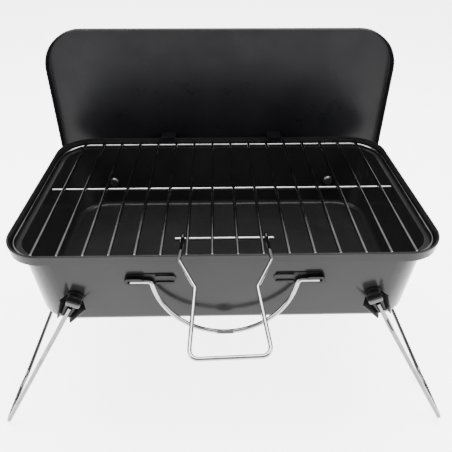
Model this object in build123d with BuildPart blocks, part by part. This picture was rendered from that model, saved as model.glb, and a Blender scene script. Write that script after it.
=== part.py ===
"""Folding camp grill: a stepped steel fire tray with a drop-in wire grate, a lid hung on
the rear rim, two folding wire legs clamped by wing knobs, and a carrying bail.

Millimetres, +Z up, -Y to the front. The origin is the centre of the tray's underside.
"""
from build123d import *
from math import atan2, cos, degrees, hypot, radians, sin, sqrt
import os

# Tray
TRAY_WIDTH = 460.0
TRAY_DEPTH = 278.0
TRAY_HEIGHT = 105.0
RIM_CORNER = 43.0
BEAD = 1.0
BEAD_HEIGHT = 3.0
SHEET = 1.2
STEP_HEIGHT = 11.5
LEDGE = 10.0
WALL_TAPER = 4.0
WALL_CORNER = 37.0
FLOOR_CORNER = 44.0
FLOOR_BEND = 8.0

# Grate
GRATE_WIRE = 2.0
GRATE_GAP = 0.8
GRATE_HOOK_ROOM = 2.6
SEAT_GAP = 0.3
BAR_COUNT = 16
BAR_PITCH = 26.2
BAR_RADIUS = 1.75
BAR_OVERHANG = 1.8
BAR_END_ROUND = 0.6
WELD_BITE = 0.2
CROSS_BAR_HALF = 212.0
CROSS_BAR_Y = 5.0
HINGE_BAR_HALF = 53.0
HINGE_BAR_Y = -100.0

# Grate handle
HANDLE_WIRE = 2.0
HANDLE_EYE_GAP = 0.35
HANDLE_ARM_X = 44.5
HANDLE_NECK_X = 29.0
HANDLE_GRIP_LEFT_X = -33.0
HANDLE_GRIP_RIGHT_X = 37.0
HANDLE_SHOULDER_Y = -149.0
HANDLE_NECK_Y = -183.0
HANDLE_GRIP_Y = -250.0
HANDLE_NECK_DROP = 5.0
HANDLE_GRIP_DROP = 24.0
HANDLE_TWIST = 3.0
HANDLE_EYE_RUN = 6.0
HANDLE_RIM_INSET = 5.0
HANDLE_SPLAY = 1.0
HANDLE_BENDS = [6.0, 10.0, 8.0, 8.0, 8.0]
EYE_SWEEP = 270.0

# Lid
LID_WIDTH = 475.0
LID_HEIGHT = 293.0
LID_ABOVE_RIM = 149.5
LID_CORNER = 52.0
LID_SKIRT = 12.0
LID_BEND = 3.5
LID_FRONT_Y = TRAY_DEPTH / 2 + 4.5
HOOK_WIDTH = 20.0
HOOK_X = 78.0
HOOK_THICKNESS = 1.5
HOOK_DROP = 7.0
HOOK_FOOT = 14.0
HOOK_GAP = 0.4

# Legs
LEG_WIRE = 2.75
LEG_PIVOT_X = 163.0
LEG_PIVOT_Z = 40.0
FOOT_X = 291.0
GROUND_Z = -184.0
LEG_NEST = 6.6
JOG_START = 40.0
JOG_END = 54.0
JOG_OUT = 8.0
FOOT_PAD = 58.0
FOOT_LIFT = 18.0
FOOT_TIP_SET = 8.0
JOG_BEND = 8.0
FOOT_BEND = 9.0
PAD_BEND = 6.0
WIRE_END = 13.0

# Brackets, bolts and knobs
BRACKET_SHEET = 1.2
# distance down the leg, half width of the base, half width at the wing tips, wing height
BRACKET_SECTIONS = ((0.0, 9.0, 15.0, 12.0), (31.0, 5.5, 8.0, 8.0))
BOLT_RADIUS = 3.0
RUNNING_GAP = 0.06
BOLT_HOLE_GAP = 0.1
BOLT_HEAD_RADIUS = 7.0
BOLT_HEAD_HEIGHT = 3.0
BOLT_HEAD_TAPER = 20.0
SPACER_RADIUS = 6.0
WALL_STANDOFF = 2.2
WALL_LEAN_GAP = 0.9
KNOB_HUB_RADIUS = 6.5
KNOB_HUB_LENGTH = 4.0
KNOB_TAB_WIDTH = 16.0
KNOB_TAB_THICKNESS = 7.0
KNOB_TAB_LENGTH = 8.0
KNOB_TAB_CORNER = 2.4
KNOB_TAB_ROUND = 2.0
KNOB_TAB_SINK = 1.0
KNOB_BORE_ROOM = 0.5
KNOB_GAP = 0.4
KNOB_TILT = 25.0

# Carrying bail
BAIL_WIRE = 2.5
BAIL_HALF = 78.0
BAIL_DROP = 67.0
BAIL_BEND = 5.0
BAIL_LEAN = 9.5
BAIL_PIVOT_Z = 65.0
BAIL_PIN = 22.0
BAIL_PIN_ROOM = 1.0
BAIL_PLATE_GAP = 0.5
GRIP_TILT = 40.0
GRIP_THICKNESS = 4.0
GRIP_HALF_LENGTH = 11.0
GRIP_HALF_WIDTH = 4.5
LUG_OUTER = 107.0
LUG_INNER = 52.0
LUG_MIDDLE = (LUG_OUTER + LUG_INNER) / 2
LUG_HEIGHT = 14.0
LUG_SHEET = 1.2
LUG_WALL_GAP = 0.05
BOSS_MIDDLE = 96.0
BOSS_LENGTH = 21.0
BOSS_END_WALL = 3.5
BOSS_HEIGHT = 9.0
BOSS_DEPTH = 6.2
BOSS_WINDOW = 3.6
RIDGE_MIDDLE = 64.0
RIDGE_LENGTH = 20.0
RIDGE_HEIGHT = 3.0
RIDGE_OFFSET = 4.2
RIDGE_DEPTH = 2.8

# Worked-out places
HALF_WIDTH = TRAY_WIDTH / 2
HALF_DEPTH = TRAY_DEPTH / 2
STEP_Z = TRAY_HEIGHT - STEP_HEIGHT
LEDGE_TOP_Z = STEP_Z + SHEET
WALL_TOP_X = HALF_WIDTH - BEAD - LEDGE
WALL_TOP_Y = HALF_DEPTH - BEAD - LEDGE
INNER_X = HALF_WIDTH - BEAD - SHEET
INNER_Y = HALF_DEPTH - BEAD - SHEET


def wall_y(z):
    """Distance of the front wall's outer face from the centre, at height z."""
    return WALL_TOP_Y - WALL_TAPER * (STEP_Z - z) / STEP_Z


def save(piece, name):
    """Label a finished piece and write it to the parts folder."""
    piece.label = name
    export_step(piece, f"parts/{name}.step")


def wire_along(points, radii, radius):
    """A round wire swept along straight runs joined by tangent arcs."""
    with BuildPart() as wire:
        with BuildLine() as route:
            FilletPolyline(*points, radius=radii)
        with BuildSketch(Plane(origin=route.line @ 0, z_dir=route.line % 0)):
            Circle(radius)
        sweep(path=route.line)
    return wire.part


os.makedirs("parts", exist_ok=True)

# ---------------------------------------------------------------- tray
with BuildPart() as tray_hollow:
    with BuildSketch(Plane.XY.offset(LEDGE_TOP_Z)):
        RectangleRounded(
            2 * (WALL_TOP_X - SHEET), 2 * (WALL_TOP_Y - SHEET), WALL_CORNER - SHEET
        )
    with BuildSketch(Plane.XY.offset(SHEET)):
        RectangleRounded(
            2 * (WALL_TOP_X - WALL_TAPER - SHEET),
            2 * (WALL_TOP_Y - WALL_TAPER - SHEET),
            FLOOR_CORNER - SHEET,
        )
    loft()
    fillet(tray_hollow.faces().sort_by(Axis.Z)[0].edges(), radius=FLOOR_BEND - SHEET)

with BuildPart() as tray:
    with BuildSketch(Plane.XY.offset(STEP_Z)):
        RectangleRounded(2 * WALL_TOP_X, 2 * WALL_TOP_Y, WALL_CORNER)
    with BuildSketch(Plane.XY):
        RectangleRounded(
            2 * (WALL_TOP_X - WALL_TAPER), 2 * (WALL_TOP_Y - WALL_TAPER), FLOOR_CORNER
        )
    loft()
    fillet(tray.faces().sort_by(Axis.Z)[0].edges(), radius=FLOOR_BEND)
    with BuildSketch(Plane.XY.offset(STEP_Z)):
        RectangleRounded(TRAY_WIDTH - 2 * BEAD, TRAY_DEPTH - 2 * BEAD, RIM_CORNER - BEAD)
    extrude(amount=STEP_HEIGHT)
    with BuildSketch(Plane.XY.offset(TRAY_HEIGHT - BEAD_HEIGHT)):
        RectangleRounded(TRAY_WIDTH, TRAY_DEPTH, RIM_CORNER)
    extrude(amount=BEAD_HEIGHT)
    fillet(tray.faces().sort_by(Axis.Z)[-1].edges(), radius=BEAD)
    with BuildSketch(Plane.XY.offset(LEDGE_TOP_Z)):
        RectangleRounded(2 * INNER_X, 2 * INNER_Y, RIM_CORNER - BEAD - SHEET)
    extrude(amount=STEP_HEIGHT, mode=Mode.SUBTRACT)
    add(tray_hollow.part, mode=Mode.SUBTRACT)
    for side in (-1, 1):
        with BuildSketch(Plane(origin=(side * LEG_PIVOT_X, 0, LEG_PIVOT_Z), z_dir=(0, 1, 0))):
            Circle(BOLT_RADIUS + BOLT_HOLE_GAP)
        extrude(amount=HALF_DEPTH, both=True, mode=Mode.SUBTRACT)
save(tray.part, "tray")

# ---------------------------------------------------------------- grate
FRAME_Z = LEDGE_TOP_Z + SEAT_GAP + GRATE_WIRE
FRAME_X = INNER_X - GRATE_GAP - GRATE_WIRE
FRAME_Y = INNER_Y - GRATE_GAP - GRATE_HOOK_ROOM - GRATE_WIRE
FRAME_CORNER = RIM_CORNER - BEAD - SHEET - GRATE_GAP - GRATE_WIRE
BAR_Z = FRAME_Z + GRATE_WIRE + BAR_RADIUS - WELD_BITE
CROSS_BAR_Z = BAR_Z - 2 * BAR_RADIUS + WELD_BITE
HINGE_BAR_Z = BAR_Z - BAR_RADIUS - GRATE_WIRE + WELD_BITE

with BuildPart() as grate_frame:
    with BuildLine() as frame_route:
        with BuildSketch(Plane.XY.offset(FRAME_Z), mode=Mode.PRIVATE) as frame_shape:
            RectangleRounded(2 * FRAME_X, 2 * FRAME_Y, FRAME_CORNER)
        add(frame_shape.sketch.faces()[0].outer_wire())
    with BuildSketch(Plane(origin=frame_route.line @ 0, z_dir=frame_route.line % 0)):
        Circle(GRATE_WIRE)
    sweep(path=frame_route.line)
save(grate_frame.part, "grate_frame")


def frame_reach(x):
    """Distance of the frame wire's centre line from the middle, at a bar's x."""
    past_corner = max(abs(x) - (FRAME_X - FRAME_CORNER), 0)
    return FRAME_Y - FRAME_CORNER + sqrt(FRAME_CORNER**2 - past_corner**2)


for index in range(BAR_COUNT):
    bar_x = (index - (BAR_COUNT - 1) / 2) * BAR_PITCH
    with BuildPart() as grate_bar:
        with BuildSketch(Plane(origin=(bar_x, 0, BAR_Z), z_dir=(0, 1, 0))):
            Circle(BAR_RADIUS)
        extrude(amount=frame_reach(bar_x) + BAR_OVERHANG, both=True)
        fillet(grate_bar.edges().filter_by(GeomType.CIRCLE), radius=BAR_END_ROUND)
    save(grate_bar.part, f"grate_bar_{index + 1:02d}")

with BuildPart() as grate_cross_bar:
    with BuildSketch(Plane(origin=(0, CROSS_BAR_Y, CROSS_BAR_Z), z_dir=(1, 0, 0))):
        Circle(BAR_RADIUS)
    extrude(amount=CROSS_BAR_HALF, both=True)
    fillet(grate_cross_bar.edges().filter_by(GeomType.CIRCLE), radius=BAR_END_ROUND)
save(grate_cross_bar.part, "grate_cross_bar")

with BuildPart() as grate_hinge_bar:
    with BuildSketch(Plane(origin=(0, HINGE_BAR_Y, HINGE_BAR_Z), z_dir=(1, 0, 0))):
        Circle(GRATE_WIRE)
    extrude(amount=HINGE_BAR_HALF, both=True)
    fillet(grate_hinge_bar.edges().filter_by(GeomType.CIRCLE), radius=BAR_END_ROUND)
save(grate_hinge_bar.part, "grate_hinge_bar")

# ---------------------------------------------------------------- grate handle
EYE_RADIUS = GRATE_WIRE + HANDLE_EYE_GAP + HANDLE_WIRE
EYE_TOP_Z = HINGE_BAR_Z + EYE_RADIUS
RIM_REST_Z = TRAY_HEIGHT + HANDLE_WIRE + HANDLE_EYE_GAP

with BuildPart() as grate_handle:
    with BuildLine() as handle_route:
        FilletPolyline(
            (-HANDLE_ARM_X, HINGE_BAR_Y, EYE_TOP_Z),
            (-HANDLE_ARM_X, HINGE_BAR_Y - HANDLE_EYE_RUN, EYE_TOP_Z),
            (-HANDLE_ARM_X, HANDLE_RIM_INSET - HALF_DEPTH, RIM_REST_Z),
            (-HANDLE_ARM_X - HANDLE_SPLAY, HANDLE_SHOULDER_Y, RIM_REST_Z),
            (-HANDLE_NECK_X, HANDLE_NECK_Y, RIM_REST_Z - HANDLE_NECK_DROP),
            (HANDLE_GRIP_LEFT_X, HANDLE_GRIP_Y, RIM_REST_Z - HANDLE_GRIP_DROP),
            (HANDLE_GRIP_RIGHT_X, HANDLE_GRIP_Y, RIM_REST_Z - HANDLE_GRIP_DROP + HANDLE_TWIST),
            (HANDLE_NECK_X, HANDLE_NECK_Y, RIM_REST_Z - HANDLE_NECK_DROP),
            (HANDLE_ARM_X + HANDLE_SPLAY, HANDLE_SHOULDER_Y, RIM_REST_Z),
            (HANDLE_ARM_X, HANDLE_RIM_INSET - HALF_DEPTH, RIM_REST_Z),
            (HANDLE_ARM_X, HINGE_BAR_Y - HANDLE_EYE_RUN, EYE_TOP_Z),
            (HANDLE_ARM_X, HINGE_BAR_Y, EYE_TOP_Z),
            radius=HANDLE_BENDS + HANDLE_BENDS[::-1],
        )
    with BuildSketch(Plane(origin=handle_route.line @ 0, z_dir=handle_route.line % 0)):
        Circle(HANDLE_WIRE)
    sweep(path=handle_route.line)
    for side in (-1, 1):
        eye_plane = Plane(
            origin=(side * HANDLE_ARM_X, HINGE_BAR_Y, HINGE_BAR_Z),
            x_dir=(0, 1, 0),
            z_dir=(1, 0, 0),
        )
        with BuildLine(eye_plane) as eye_route:
            CenterArc((0, 0), EYE_RADIUS, 90, -EYE_SWEEP)
        with BuildSketch(Plane(origin=eye_route.line @ 0, z_dir=eye_route.line % 0)):
            Circle(HANDLE_WIRE)
        sweep(path=eye_route.line)
save(grate_handle.part, "grate_handle")

# ---------------------------------------------------------------- lid
LID_CENTRE_Z = TRAY_HEIGHT + LID_ABOVE_RIM - LID_HEIGHT / 2
LID_FACE_Y = LID_FRONT_Y + LID_SKIRT
lid_plane = Plane(origin=(0, LID_FRONT_Y, LID_CENTRE_Z), x_dir=(1, 0, 0), z_dir=(0, -1, 0))

with BuildPart() as lid_hollow:
    with BuildSketch(lid_plane):
        RectangleRounded(LID_WIDTH - 2 * SHEET, LID_HEIGHT - 2 * SHEET, LID_CORNER - SHEET)
    extrude(amount=-LID_SKIRT)
    fillet(lid_hollow.faces().sort_by(Axis.Y)[-1].edges(), radius=LID_BEND - SHEET)

with BuildPart() as lid_pan:
    with BuildSketch(lid_plane):
        RectangleRounded(LID_WIDTH, LID_HEIGHT, LID_CORNER)
    extrude(amount=-LID_SKIRT - SHEET)
    fillet(lid_pan.faces().sort_by(Axis.Y)[-1].edges(), radius=LID_BEND)
    add(lid_hollow.part, mode=Mode.SUBTRACT)
save(lid_pan.part, "lid_pan")

HOOK_TOP_Z = TRAY_HEIGHT + HOOK_GAP + HOOK_THICKNESS
HOOK_NOSE_Y = INNER_Y - HOOK_GAP - HOOK_THICKNESS
for side, name in ((-1, "lid_hook_left"), (1, "lid_hook_right")):
    with BuildPart() as lid_hook:
        with BuildSketch(Plane(origin=(side * HOOK_X, 0, 0), x_dir=(0, 1, 0), z_dir=(1, 0, 0))):
            with BuildLine():
                Polyline(
                    (HOOK_NOSE_Y, HOOK_TOP_Z - HOOK_DROP),
                    (HOOK_NOSE_Y, HOOK_TOP_Z),
                    (LID_FACE_Y, HOOK_TOP_Z),
                    (LID_FACE_Y, HOOK_TOP_Z - HOOK_FOOT),
                    (LID_FACE_Y - HOOK_THICKNESS, HOOK_TOP_Z - HOOK_FOOT),
                    (LID_FACE_Y - HOOK_THICKNESS, HOOK_TOP_Z - HOOK_THICKNESS),
                    (HOOK_NOSE_Y + HOOK_THICKNESS, HOOK_TOP_Z - HOOK_THICKNESS),
                    (HOOK_NOSE_Y + HOOK_THICKNESS, HOOK_TOP_Z - HOOK_DROP),
                    close=True,
                )
            make_face()
        extrude(amount=HOOK_WIDTH / 2, both=True)
    save(lid_hook.part, name)

# ---------------------------------------------------------------- leg bolts, spacers and brackets
PIVOT_WALL_Y = wall_y(LEG_PIVOT_Z)
BRACKET_BACK_Y = PIVOT_WALL_Y + WALL_STANDOFF
BRACKET_FRONT_Y = BRACKET_BACK_Y + BRACKET_SHEET
LEG_ARM_Y = BRACKET_FRONT_Y + LEG_WIRE - WELD_BITE
KNOB_BACK_Y = BRACKET_FRONT_Y + KNOB_GAP
KNOB_FRONT_Y = KNOB_BACK_Y + KNOB_HUB_LENGTH
BOLT_END_Y = KNOB_FRONT_Y + KNOB_TAB_LENGTH / 2
corners = [(side, end) for side in (-1, 1) for end in (-1, 1)]

with BuildPart() as leg_bolts:
    for side, end in corners:
        head_y = PIVOT_WALL_Y - SHEET - WALL_LEAN_GAP
        bolt_plane = Plane(
            origin=(side * LEG_PIVOT_X, end * head_y, LEG_PIVOT_Z), z_dir=(0, end, 0)
        )
        with BuildSketch(bolt_plane):
            Circle(BOLT_RADIUS)
        extrude(amount=BOLT_END_Y - head_y)
        with BuildSketch(bolt_plane):
            Circle(BOLT_HEAD_RADIUS)
        extrude(amount=-BOLT_HEAD_HEIGHT, taper=BOLT_HEAD_TAPER)
save(leg_bolts.part, "leg_bolts")

with BuildPart() as leg_spacers:
    for side, end in corners:
        spacer_y = PIVOT_WALL_Y + WALL_LEAN_GAP
        with BuildSketch(
            Plane(origin=(side * LEG_PIVOT_X, end * spacer_y, LEG_PIVOT_Z), z_dir=(0, end, 0))
        ):
            Circle(SPACER_RADIUS)
            Circle(BOLT_RADIUS + RUNNING_GAP, mode=Mode.SUBTRACT)
        extrude(amount=BRACKET_BACK_Y - SEAT_GAP - spacer_y)
save(leg_spacers.part, "leg_spacers")

LEG_DROP = LEG_PIVOT_Z - GROUND_Z - LEG_WIRE
LEG_REACH = FOOT_X - LEG_PIVOT_X
LEG_LENGTH = hypot(LEG_DROP, LEG_REACH)
LEG_LEAN = degrees(atan2(LEG_REACH, LEG_DROP))

for side, side_name in ((-1, "left"), (1, "right")):
    down_axis = Vector(side * sin(radians(LEG_LEAN)), 0, -cos(radians(LEG_LEAN)))
    for end, end_name in ((-1, "front"), (1, "rear")):
        across = Vector(down_axis.Z, 0, -down_axis.X)
        back_plane = Plane(
            origin=(side * LEG_PIVOT_X, end * BRACKET_BACK_Y, LEG_PIVOT_Z),
            x_dir=across,
            z_dir=(0, end, 0),
        )
        with BuildPart() as bracket:
            for along, base, tip, rise in BRACKET_SECTIONS:
                section_plane = Plane(
                    origin=back_plane.origin + down_axis * along, x_dir=across, z_dir=down_axis
                )
                out = 1 if section_plane.y_dir.dot(back_plane.z_dir) > 0 else -1
                with BuildSketch(section_plane):
                    with BuildLine():
                        Polyline(
                            (-tip, out * rise),
                            (-base, 0),
                            (base, 0),
                            (tip, out * rise),
                            (tip - BRACKET_SHEET, out * rise),
                            (base - BRACKET_SHEET, out * BRACKET_SHEET),
                            (BRACKET_SHEET - base, out * BRACKET_SHEET),
                            (BRACKET_SHEET - tip, out * rise),
                            close=True,
                        )
                    make_face()
            loft(ruled=True)
            with BuildSketch(back_plane):
                Circle(BRACKET_SECTIONS[0][1])
            extrude(amount=BRACKET_SHEET)
            with BuildSketch(back_plane):
                Circle(BOLT_RADIUS + RUNNING_GAP)
            extrude(amount=BRACKET_SHEET, mode=Mode.SUBTRACT)
        save(bracket.part, f"{side_name}_{end_name}_bracket")

# ---------------------------------------------------------------- leg wires
for side, side_name, nest in ((-1, "left", LEG_NEST), (1, "right", 0.0)):
    arm_y = LEG_ARM_Y
    low_y = LEG_ARM_Y + JOG_OUT - nest

    def on_leg(along, y):
        """A point at a distance down the leg from its pivot."""
        x = side * (LEG_PIVOT_X + along * sin(radians(LEG_LEAN)))
        return (x, y, LEG_PIVOT_Z - along * cos(radians(LEG_LEAN)))

    pad_y = low_y - FOOT_PAD
    half = [
        on_leg(WIRE_END, -arm_y),
        on_leg(JOG_START, -arm_y),
        on_leg(JOG_END, -low_y),
        on_leg(LEG_LENGTH, -low_y),
        on_leg(LEG_LENGTH, -pad_y),
        on_leg(LEG_LENGTH - FOOT_LIFT, -pad_y + FOOT_TIP_SET),
    ]
    mirrored = [(x, -y, z) for x, y, z in reversed(half)]
    bends = [JOG_BEND, JOG_BEND, FOOT_BEND, PAD_BEND, PAD_BEND]
    save(wire_along(half + mirrored, bends + bends[::-1], LEG_WIRE), f"{side_name}_leg_wire")

# ---------------------------------------------------------------- wing knobs
for side, side_name in ((-1, "left"), (1, "right")):
    for end, end_name in ((-1, "front"), (1, "rear")):
        hub_plane = Plane(
            origin=(side * LEG_PIVOT_X, end * KNOB_BACK_Y, LEG_PIVOT_Z),
            x_dir=(cos(radians(KNOB_TILT)), 0, side * sin(radians(KNOB_TILT))),
            z_dir=(0, end, 0),
        )
        with BuildPart() as knob:
            with BuildSketch(hub_plane):
                Circle(KNOB_HUB_RADIUS)
            extrude(amount=KNOB_HUB_LENGTH)
            with BuildSketch(hub_plane.offset(KNOB_HUB_LENGTH - KNOB_TAB_SINK)):
                RectangleRounded(KNOB_TAB_WIDTH, KNOB_TAB_THICKNESS, KNOB_TAB_CORNER)
            extrude(amount=KNOB_TAB_LENGTH)
            fillet(knob.faces().sort_by(Axis.Y)[-1 if end > 0 else 0].edges(), radius=KNOB_TAB_ROUND)
            with BuildSketch(hub_plane):
                Circle(BOLT_RADIUS + RUNNING_GAP)
            extrude(amount=BOLT_END_Y - KNOB_BACK_Y + KNOB_BORE_ROOM, mode=Mode.SUBTRACT)
        save(knob.part, f"{side_name}_{end_name}_knob")

# ---------------------------------------------------------------- carrying bail and its lugs
BAIL_Y = wall_y(BAIL_PIVOT_Z + LUG_HEIGHT / 2) + LUG_SHEET + BAIL_WIRE + BAIL_PLATE_GAP
LUG_BACK_Y = wall_y(BAIL_PIVOT_Z + LUG_HEIGHT / 2) + LUG_WALL_GAP
bail_plane = Plane(
    origin=(0, -BAIL_Y, BAIL_PIVOT_Z),
    x_dir=(1, 0, 0),
    z_dir=(0, -cos(radians(BAIL_LEAN)), sin(radians(BAIL_LEAN))),
)
grip_middle = bail_plane.from_local_coords((0, -BAIL_DROP, 0))
grip_plane = Plane(
    origin=grip_middle,
    x_dir=(1, 0, 0),
    z_dir=(0, sin(radians(GRIP_TILT)), cos(radians(GRIP_TILT))),
)
with BuildPart() as bail:
    with BuildLine(bail_plane) as bail_route:
        left_pin = Line((-BAIL_HALF - BAIL_PIN, 0), (-BAIL_HALF, 0))
        ThreePointArc((-BAIL_HALF, 0), (0, -BAIL_DROP), (BAIL_HALF, 0))
        right_pin = Line((BAIL_HALF, 0), (BAIL_HALF + BAIL_PIN, 0))
        fillet(bail_route.vertices().sort_by(Axis.X)[1:3], radius=BAIL_BEND)
    with BuildSketch(Plane(origin=left_pin @ 0, z_dir=(1, 0, 0))):
        Circle(BAIL_WIRE)
    sweep(path=bail_route.line)
    with BuildSketch(grip_plane.offset(-GRIP_THICKNESS / 2)):
        Ellipse(GRIP_HALF_LENGTH, GRIP_HALF_WIDTH)
    extrude(amount=GRIP_THICKNESS)
save(bail.part, "bail_wire")

for side, name in ((-1, "bail_lug_left"), (1, "bail_lug_right")):
    lug_planes = {
        middle: Plane(
            origin=(side * middle, -LUG_BACK_Y, BAIL_PIVOT_Z), x_dir=(1, 0, 0), z_dir=(0, -1, 0)
        )
        for middle in (LUG_MIDDLE, BOSS_MIDDLE, RIDGE_MIDDLE)
    }
    with BuildPart() as lug:
        with BuildSketch(lug_planes[LUG_MIDDLE]):
            SlotOverall(LUG_OUTER - LUG_INNER, LUG_HEIGHT)
        extrude(amount=LUG_SHEET)
        with BuildSketch(lug_planes[BOSS_MIDDLE]):
            SlotOverall(BOSS_LENGTH, BOSS_HEIGHT)
        extrude(amount=BOSS_DEPTH)
        with BuildSketch(lug_planes[BOSS_MIDDLE].offset(BAIL_Y - LUG_BACK_Y)):
            SlotOverall(BOSS_LENGTH - 2 * BOSS_END_WALL, BOSS_WINDOW)
        extrude(amount=BOSS_DEPTH, mode=Mode.SUBTRACT)
        with BuildSketch(lug_planes[RIDGE_MIDDLE]):
            with Locations((0, RIDGE_OFFSET), (0, -RIDGE_OFFSET)):
                SlotOverall(RIDGE_LENGTH, RIDGE_HEIGHT)
        extrude(amount=RIDGE_DEPTH)
        with BuildSketch(
            Plane(origin=(side * BAIL_HALF, -BAIL_Y, BAIL_PIVOT_Z), x_dir=(0, 1, 0), z_dir=(side, 0, 0))
        ):
            Circle(BAIL_WIRE + RUNNING_GAP)
        extrude(amount=BAIL_PIN + BAIL_PIN_ROOM, mode=Mode.SUBTRACT)
    save(lug.part, name)
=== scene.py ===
"""The looks of the folding camp grill: materials, camera, floor and light."""
import math

import bpy
from mathutils import Matrix, Vector


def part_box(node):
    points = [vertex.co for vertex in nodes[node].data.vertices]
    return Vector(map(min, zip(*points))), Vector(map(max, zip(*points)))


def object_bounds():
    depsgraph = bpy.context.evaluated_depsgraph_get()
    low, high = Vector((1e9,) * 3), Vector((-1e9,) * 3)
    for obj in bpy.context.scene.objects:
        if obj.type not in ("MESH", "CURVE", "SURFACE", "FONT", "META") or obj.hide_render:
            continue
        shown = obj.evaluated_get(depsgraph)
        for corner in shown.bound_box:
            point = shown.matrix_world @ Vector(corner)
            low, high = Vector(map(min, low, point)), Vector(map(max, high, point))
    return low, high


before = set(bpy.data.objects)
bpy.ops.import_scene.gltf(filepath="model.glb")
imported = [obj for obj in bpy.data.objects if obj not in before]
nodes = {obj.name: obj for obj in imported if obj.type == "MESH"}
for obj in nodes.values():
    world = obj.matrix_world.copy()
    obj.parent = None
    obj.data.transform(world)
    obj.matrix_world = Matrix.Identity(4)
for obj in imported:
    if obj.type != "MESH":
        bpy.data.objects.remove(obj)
cad_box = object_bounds()

RIM_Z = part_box("tray")[1][2]
FLOOR_Z = cad_box[0][2]

# Noise scales, in cells per metre
MOTTLE_SCALE = 14.0
SHEEN_SCALE = 35.0
EDGE_HIGHLIGHT_AND_SCUFF_SCALE = 90.0
PEEL_SCALE = 420.0
PATCH_SCALE = 60.0
POLISH_SCALE = 150.0
GRAIN_SCALE = 900.0
SHADE_SCALE = 80.0
MATT_SCALE = 300.0
SPARK_SCALE = 1600.0
FLOOR_SCALE = 2.0

# Depths of the bumps and width of the lightened edges (painted edge highlight and wear), in metres
PEEL_DEPTH = 0.0004
GRAIN_DEPTH = 0.0002
EDGE_HIGHLIGHT_AND_WEAR_WIDTH = 0.0012

# Floor, sky and lights
FLOOR_HALF = 14.0
FLOOR_GLOW = 4.2
SKY_STRENGTH = 0.8
TOP_POWER = 95
SIDE_POWER = 34

# Camera: angles in degrees, place in metres from the middle of the rim
PITCH_YAW_ROLL = (35.08, 1.40, 0.18)
CAMERA_FROM_RIM = (-0.0085, -0.5104, 0.2966)
SENSOR_WIDTH = 36.0
LENS = 37.9


# ---------------------------------------------------------------- node helpers
def new_material(name):
    """An empty node material with its output and a Principled shader."""
    material = bpy.data.materials.new(name)
    material.use_nodes = True
    tree = material.node_tree
    tree.nodes.clear()
    output = tree.nodes.new("ShaderNodeOutputMaterial")
    shader = tree.nodes.new("ShaderNodeBsdfPrincipled")
    tree.links.new(shader.outputs["BSDF"], output.inputs["Surface"])
    return material, tree, shader


def noise(tree, scale, detail=4.0):
    """Noise in the object's own coordinates, scale in cells per metre."""
    place = tree.nodes.new("ShaderNodeTexCoord")
    texture = tree.nodes.new("ShaderNodeTexNoise")
    texture.inputs["Scale"].default_value = scale
    texture.inputs["Detail"].default_value = detail
    tree.links.new(place.outputs["Object"], texture.inputs["Vector"])
    return texture.outputs["Fac"]


def ramp(tree, value, low, high, start=0.3, stop=0.7):
    """Maps a value from start..stop to low..high."""
    spread = tree.nodes.new("ShaderNodeMapRange")
    spread.inputs["From Min"].default_value = start
    spread.inputs["From Max"].default_value = stop
    spread.inputs["To Min"].default_value = low
    spread.inputs["To Max"].default_value = high
    tree.links.new(value, spread.inputs["Value"])
    return spread.outputs["Result"]


def blend_colours(tree, factor, first, second):
    """Mixes two colours, or a socket and a colour, by a factor socket."""
    mix = tree.nodes.new("ShaderNodeMix")
    mix.data_type = "RGBA"
    tree.links.new(factor, mix.inputs["Factor"])
    for socket, value in ((mix.inputs[6], first), (mix.inputs[7], second)):
        if isinstance(value, tuple):
            socket.default_value = (*value, 1.0)
        else:
            tree.links.new(value, socket)
    return mix.outputs[2]


def edge_mask(tree):
    """1 along sharp edges, 0 on flat faces: where a rounded normal leaves the true one."""
    soft = tree.nodes.new("ShaderNodeBevel")
    soft.inputs["Radius"].default_value = EDGE_HIGHLIGHT_AND_WEAR_WIDTH
    geometry = tree.nodes.new("ShaderNodeNewGeometry")
    match = tree.nodes.new("ShaderNodeVectorMath")
    match.operation = "DOT_PRODUCT"
    tree.links.new(soft.outputs["Normal"], match.inputs[0])
    tree.links.new(geometry.outputs["Normal"], match.inputs[1])
    return ramp(tree, match.outputs["Value"], 1.0, 0.0, 0.75, 0.98)


def bump(tree, shader, height, strength, distance):
    """Feeds a height socket to the shader's normal."""
    node = tree.nodes.new("ShaderNodeBump")
    node.inputs["Strength"].default_value = strength
    node.inputs["Distance"].default_value = distance
    tree.links.new(height, node.inputs["Height"])
    tree.links.new(node.outputs["Normal"], shader.inputs["Normal"])


def painted(name, dark, light, edge_highlight_and_wear_colour, rough, ior, peel):
    """Sprayed or fired black paint: faint mottling, orange peel, and edges lightened in patches as painted
    edge highlight and rubbed wear.
    """
    material, tree, shader = new_material(name)
    mottle = ramp(tree, noise(tree, MOTTLE_SCALE), 0.0, 1.0)
    base = blend_colours(tree, mottle, dark, light)
    # Edges lightened in noisy patches: painted edge highlight and rubbed wear.
    edge_highlight_and_wear = edge_mask(tree)
    edge_highlight_and_scuffs = tree.nodes.new("ShaderNodeMath")
    edge_highlight_and_scuffs.operation = "MULTIPLY"
    tree.links.new(edge_highlight_and_wear, edge_highlight_and_scuffs.inputs[0])
    tree.links.new(ramp(tree, noise(tree, EDGE_HIGHLIGHT_AND_SCUFF_SCALE), 0.0, 0.7, 0.45, 0.62), edge_highlight_and_scuffs.inputs[1])
    tree.links.new(blend_colours(tree, edge_highlight_and_scuffs.outputs[0], base, edge_highlight_and_wear_colour), shader.inputs["Base Color"])
    tree.links.new(ramp(tree, noise(tree, SHEEN_SCALE, 6.0), rough[0], rough[1]), shader.inputs["Roughness"])
    shader.inputs["IOR"].default_value = ior
    bump(tree, shader, noise(tree, PEEL_SCALE, 3.0), peel, PEEL_DEPTH)
    return material


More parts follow.
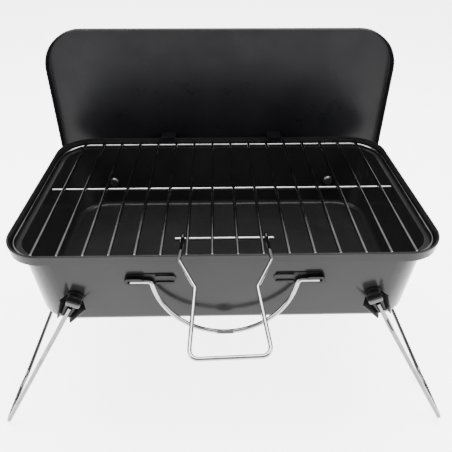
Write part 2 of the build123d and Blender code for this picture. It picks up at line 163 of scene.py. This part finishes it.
def plated(name, dark, light, rough, grain):
    """Bright plating on steel: fine grain and small dull patches."""
    material, tree, shader = new_material(name)
    patches = ramp(tree, noise(tree, PATCH_SCALE), 0.0, 1.0)
    tree.links.new(blend_colours(tree, patches, dark, light), shader.inputs["Base Color"])
    shader.inputs["Metallic"].default_value = 1.0
    tree.links.new(ramp(tree, noise(tree, POLISH_SCALE), rough[0], rough[1]), shader.inputs["Roughness"])
    bump(tree, shader, noise(tree, GRAIN_SCALE, 2.0), grain, GRAIN_DEPTH)
    return material


def moulded(name):
    """Moulded black plastic with a fine spark-eroded texture."""
    material, tree, shader = new_material(name)
    shade = ramp(tree, noise(tree, SHADE_SCALE), 0.0, 1.0)
    base = blend_colours(tree, shade, (0.003, 0.003, 0.003), (0.007, 0.007, 0.007))
    # All edges lighter: painted edge highlight and wear.
    edge_highlight_and_wear = blend_colours(tree, edge_mask(tree), base, (0.02, 0.02, 0.02))
    tree.links.new(edge_highlight_and_wear, shader.inputs["Base Color"])
    tree.links.new(ramp(tree, noise(tree, MATT_SCALE), 0.3, 0.45), shader.inputs["Roughness"])
    bump(tree, shader, noise(tree, SPARK_SCALE, 2.0), 0.25, GRAIN_DEPTH)
    return material


tray_enamel = painted(
    "tray_enamel",
    dark=(0.009, 0.009, 0.009),
    light=(0.013, 0.013, 0.013),
    edge_highlight_and_wear_colour=(0.05, 0.05, 0.05),
    rough=(0.14, 0.22),
    ior=1.24,
    peel=0.06,
)
lid_enamel = painted(
    "lid_enamel",
    dark=(0.003, 0.003, 0.004),
    light=(0.006, 0.006, 0.007),
    edge_highlight_and_wear_colour=(0.03, 0.03, 0.03),
    rough=(0.26, 0.36),
    ior=1.22,
    peel=0.10,
)
fitting_paint = painted(
    "fitting_paint",
    dark=(0.002, 0.002, 0.002),
    light=(0.005, 0.005, 0.005),
    edge_highlight_and_wear_colour=(0.05, 0.05, 0.05),
    rough=(0.25, 0.38),
    ior=1.25,
    peel=0.15,
)
chrome = plated("chrome", (0.22, 0.22, 0.23), (0.33, 0.33, 0.34), (0.08, 0.18), 0.10)
# A darker copy of the chrome for the leg wires: painted shade.
shaded_leg_chrome = plated("shaded_leg_chrome", (0.10, 0.10, 0.105), (0.16, 0.16, 0.165), (0.10, 0.22), 0.10)
zinc = plated("zinc", (0.20, 0.21, 0.23), (0.32, 0.32, 0.31), (0.28, 0.42), 0.2)
plastic = moulded("black_plastic")

NODE_LOOKS = {
    "tray": tray_enamel,
    "lid_pan": lid_enamel,
    "lid_hook_left": lid_enamel,
    "lid_hook_right": lid_enamel,
    "bail_lug_left": fitting_paint,
    "bail_lug_right": fitting_paint,
    "left_leg_wire": shaded_leg_chrome,
    "right_leg_wire": shaded_leg_chrome,
    "leg_bolts": zinc,
    "leg_spacers": zinc,
}
for name, node in nodes.items():
    look = NODE_LOOKS.get(name, chrome)
    if name.endswith("_bracket"):
        look = fitting_paint
    if name.endswith("_knob"):
        look = plastic
    node.data.materials.clear()
    node.data.materials.append(look)


# ---------------------------------------------------------------- floor, light and camera
def make_floor():
    """A wide pale floor under the feet, glowing a little as a lit studio table does."""
    mesh = bpy.data.meshes.new("floor")
    turns = ((-1, -1), (1, -1), (1, 1), (-1, 1))
    corners = [(x * FLOOR_HALF, y * FLOOR_HALF, FLOOR_Z) for x, y in turns]
    mesh.from_pydata(corners, [], [(0, 1, 2, 3)])
    floor = bpy.data.objects.new("floor", mesh)
    bpy.context.collection.objects.link(floor)
    material, tree, shader = new_material("pale_floor")
    patches = ramp(tree, noise(tree, FLOOR_SCALE), 0.0, 1.0)
    base = blend_colours(tree, patches, (0.90, 0.90, 0.90), (0.93, 0.93, 0.93))
    tree.links.new(base, shader.inputs["Base Color"])
    shader.inputs["Roughness"].default_value = 0.7
    shader.inputs["Emission Color"].default_value = (1.0, 1.0, 1.0, 1.0)
    shader.inputs["Emission Strength"].default_value = FLOOR_GLOW
    mesh.materials.append(material)


def soft_light(name, place, target, width, height, power):
    """A rectangular soft box that points at a target."""
    light = bpy.data.lights.new(name, "AREA")
    light.shape = "RECTANGLE"
    light.size = width
    light.size_y = height
    light.energy = power
    lamp = bpy.data.objects.new(name, light)
    lamp.location = place
    lamp.rotation_euler = (Vector(target) - Vector(place)).to_track_quat("-Z", "Y").to_euler()
    bpy.context.collection.objects.link(lamp)


def make_camera():
    """The camera in front of the grill: pitched down, turned and rolled a little."""
    pitch, yaw, roll = (math.radians(angle) for angle in PITCH_YAW_ROLL)
    flat = math.cos(pitch)
    forward = Vector((math.sin(yaw) * flat, math.cos(yaw) * flat, -math.sin(pitch)))
    level = Vector((math.cos(yaw), -math.sin(yaw), 0))
    upright = level.cross(forward)
    right = math.cos(roll) * level + math.sin(roll) * upright
    up = math.cos(roll) * upright - math.sin(roll) * level
    data = bpy.data.cameras.new("camera")
    data.sensor_width = SENSOR_WIDTH
    data.lens = LENS
    camera = bpy.data.objects.new("camera", data)
    place = Vector((0, 0, RIM_Z)) + Vector(CAMERA_FROM_RIM)
    facing = Matrix((right, up, -forward)).transposed().to_4x4()
    camera.matrix_world = Matrix.Translation(place) @ facing
    bpy.context.collection.objects.link(camera)
    bpy.context.scene.camera = camera


make_floor()
make_camera()
middle = (0, 0, RIM_Z)
soft_light("top_box", (0, 0.3, 1.9), middle, 1.8, 1.4, TOP_POWER)
soft_light("left_box", (-1.7, -0.5, 0.9), middle, 1.2, 1.2, SIDE_POWER)
soft_light("right_box", (1.7, -0.5, 0.9), middle, 1.2, 1.2, SIDE_POWER)

world = bpy.data.worlds.new("studio")
world.use_nodes = True
world.node_tree.nodes["Background"].inputs["Color"].default_value = (1.0, 1.0, 1.0, 1.0)
world.node_tree.nodes["Background"].inputs["Strength"].default_value = SKY_STRENGTH
bpy.context.scene.world = world
